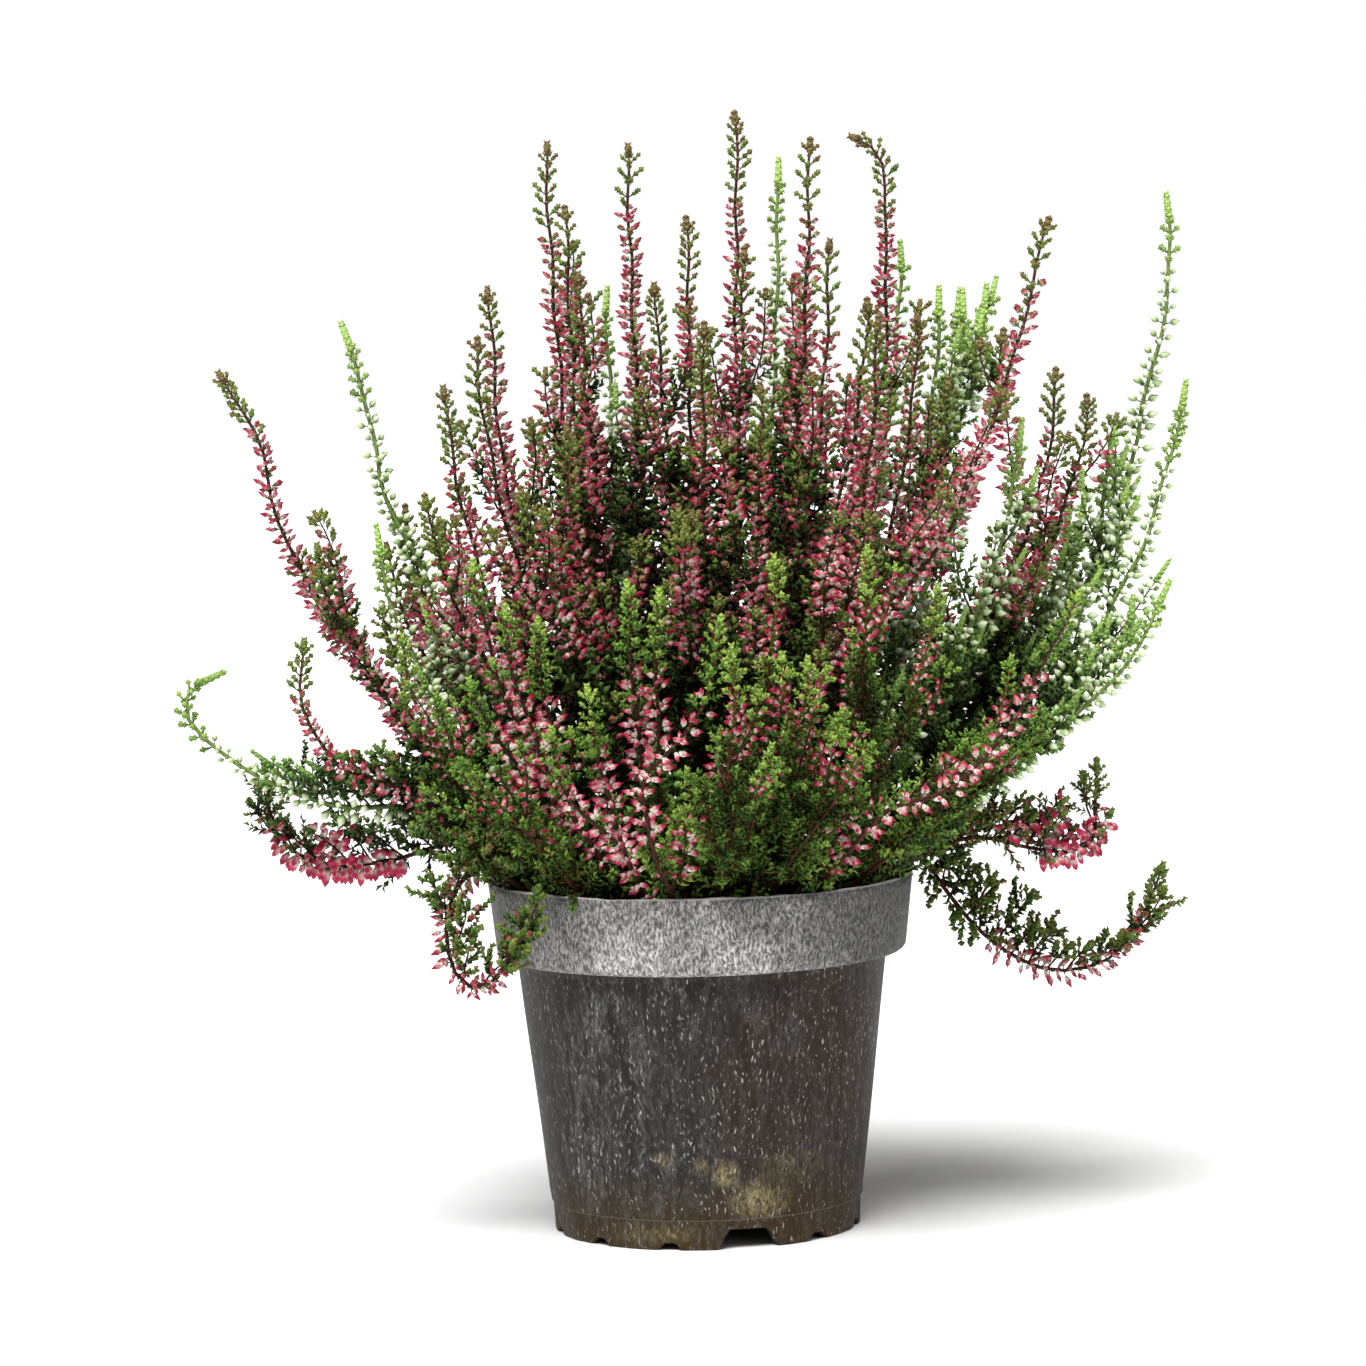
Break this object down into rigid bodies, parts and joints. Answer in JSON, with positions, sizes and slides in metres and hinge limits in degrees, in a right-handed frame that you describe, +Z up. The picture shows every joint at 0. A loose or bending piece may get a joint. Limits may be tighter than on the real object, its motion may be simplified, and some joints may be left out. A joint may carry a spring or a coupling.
{
  "type": "potted heather",
  "caption": "Potted heather: a bush of upright budding and leafy stems, some arching and trailing, in a banded, tapering round nursery pot with a notched foot, filled with peat.",
  "frame": {"origin": "on the surface that the pot stands on, under the middle of the whole outline; the pot's own centre is 1.4 mm to +X and 3.5 mm to -Y of it", "axes": "+Z up; -Y is the front, the side with the low leafy shoots and the widest notch a little to the right of it; +X to the right seen from the front"},
  "size_m": [0.3068, 0.241, 0.34],
  "materials": {
    "pot": "dark grey moulded fibre-filled plastic with pale flecks",
    "peat": "damp crumbly peat",
    "pink_heather": "matt crimson and cream buds over olive green leaves and red-brown stems",
    "white_heather": "matt green-white buds on light green stems",
    "green_heather": "matt bright green scale leaves"
  },
  "bodies": {
    "root": {"pot": "pot", "soil": "peat", "spray_01_pink": "pink_heather", "spray_02_pink": "pink_heather", "spray_03_pink": "pink_heather", "spray_04_pink": "pink_heather", "spray_05_pink": "pink_heather", "spray_06_pink": "pink_heather", "spray_07_pink": "pink_heather", "spray_08_pink": "pink_heather", "spray_09_pink": "pink_heather", "spray_10_pink": "pink_heather", "spray_11_pink": "pink_heather", "spray_12_pink": "pink_heather", "spray_13_pink": "pink_heather", "spray_14_pink": "pink_heather", "spray_15_pink": "pink_heather", "spray_16_pink": "pink_heather", "spray_17_pink": "pink_heather", "spray_18_pink": "pink_heather", "spray_19_pink": "pink_heather", "spray_20_pink": "pink_heather", "spray_21_pink": "pink_heather", "spray_22_pink": "pink_heather", "spray_23_pink": "pink_heather", "spray_24_pink": "pink_heather", "spray_25_pink": "pink_heather", "spray_26_pink": "pink_heather", "spray_27_pink": "pink_heather", "spray_28_pink": "pink_heather", "spray_29_pink": "pink_heather", "spray_30_pink": "pink_heather", "spray_31_pink": "pink_heather", "spray_32_white": "white_heather", "spray_33_white": "white_heather", "spray_34_white": "white_heather", "spray_35_white": "white_heather", "spray_36_white": "white_heather", "spray_37_white": "white_heather", "spray_38_white": "white_heather", "spray_39_white": "white_heather", "spray_40_white": "white_heather", "spray_41_white": "white_heather", "spray_42_white": "white_heather", "spray_43_white": "white_heather", "spray_44_white": "white_heather", "spray_45_green": "green_heather", "spray_46_green": "green_heather", "spray_47_green": "green_heather", "spray_48_green": "green_heather", "spray_49_green": "green_heather", "spray_50_green": "green_heather", "spray_51_green": "green_heather", "spray_52_green": "green_heather", "spray_53_pink": "pink_heather", "spray_54_pink": "pink_heather", "spray_55_white": "white_heather", "spray_56_pink": "pink_heather", "spray_57_pink": "pink_heather"}
  },
  "joints": []
}
